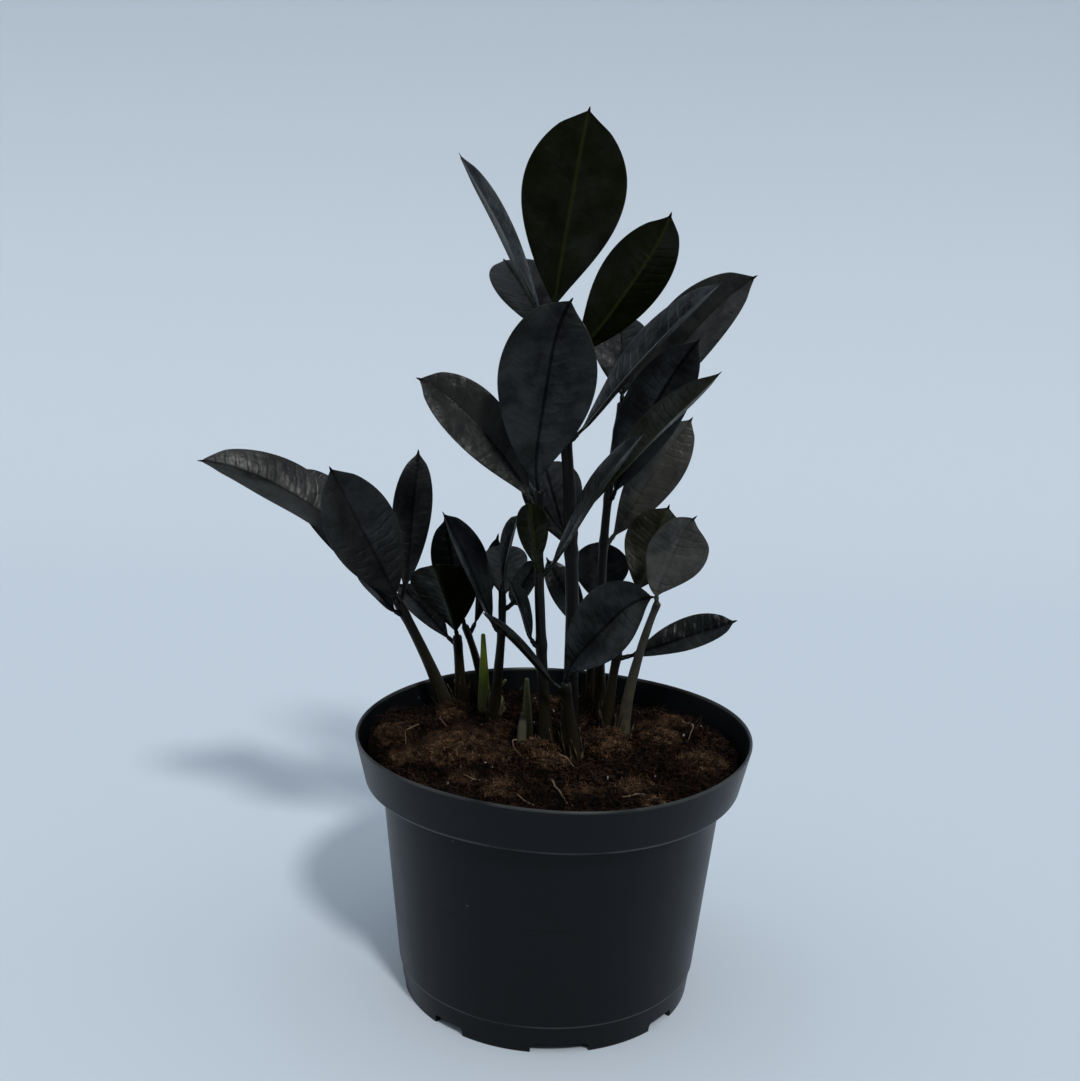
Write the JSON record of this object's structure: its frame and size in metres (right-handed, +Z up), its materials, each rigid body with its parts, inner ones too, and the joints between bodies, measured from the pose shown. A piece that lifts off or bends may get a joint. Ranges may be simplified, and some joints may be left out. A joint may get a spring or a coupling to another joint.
{
  "type": "potted zz plant",
  "caption": "Black-leaved potted plant: round tapered nursery pot with an overhanging rim, filled with soil, with upright leaf stalks carrying pointed glossy leaflets.",
  "frame": {"origin": "middle of the flat pad under the pot, on the ground", "axes": "+Z up along the pot's axis, -Y towards the front, +X to the right seen from the front"},
  "size_m": [0.2544, 0.1688, 0.3888],
  "materials": {
    "pot_plastic": "satin black injection-moulded polypropylene with fine scuffs and dust",
    "soil": "dark moist peat with reddish fibres, coir clods and fine pale specks",
    "leaf": "waxy near-black leaf with a soft blue-grey sheen, faint veins and a pale thin edge; olive brown below",
    "stalk": "smooth dark grey-brown stalk, olive towards its foot",
    "young_shoot": "young yellow-green shoot, smooth"
  },
  "bodies": {
    "root": {"leaflet_back_short_left": "leaf", "leaflet_back_short_tip": "leaf", "leaflet_back_tall_right_low": "leaf", "leaflet_back_tall_right_mid": "leaf", "leaflet_back_tall_right_top": "leaf", "leaflet_back_tall_tip": "leaf", "leaflet_front_left": "leaf", "leaflet_front_tip": "leaf", "leaflet_left_front_back": "leaf", "leaflet_left_front_left": "leaf", "leaflet_left_front_right": "leaf", "leaflet_left_front_tip": "leaf", "leaflet_left_lean_back": "leaf", "leaflet_left_lean_front": "leaf", "leaflet_left_lean_low": "leaf", "leaflet_left_lean_right": "leaf", "leaflet_left_lean_tip": "leaf", "leaflet_left_mid_left": "leaf", "leaflet_left_mid_tip": "leaf", "leaflet_left_thin_right": "leaf", "leaflet_left_thin_tip": "leaf", "leaflet_main_back_mid": "leaf", "leaflet_main_back_top": "leaf", "leaflet_main_left_low": "leaf", "leaflet_main_left_top": "leaf", "leaflet_main_right_low": "leaf", "leaflet_main_right_mid": "leaf", "leaflet_main_right_top": "leaf", "leaflet_main_tip": "leaf", "leaflet_right_grey_low": "leaf", "leaflet_right_grey_tip": "leaf", "leaflet_right_light_tip": "leaf", "leaflet_second_front": "leaf", "leaflet_second_left": "leaf", "leaflet_second_low": "leaf", "leaflet_second_right": "leaf", "leaflet_second_tip": "leaf", "pot": "pot_plastic", "shoot_middle": "young_shoot", "shoot_small": "young_shoot", "shoot_stub": "young_shoot", "shoot_tall": "young_shoot", "soil": "soil", "stalk_back_short": "stalk", "stalk_back_tall": "stalk", "stalk_front": "stalk", "stalk_left_front": "stalk", "stalk_left_lean": "stalk", "stalk_left_mid": "stalk", "stalk_left_thin": "stalk", "stalk_main": "stalk", "stalk_right_grey": "stalk", "stalk_right_light": "stalk", "stalk_second": "stalk"}
  },
  "joints": []
}
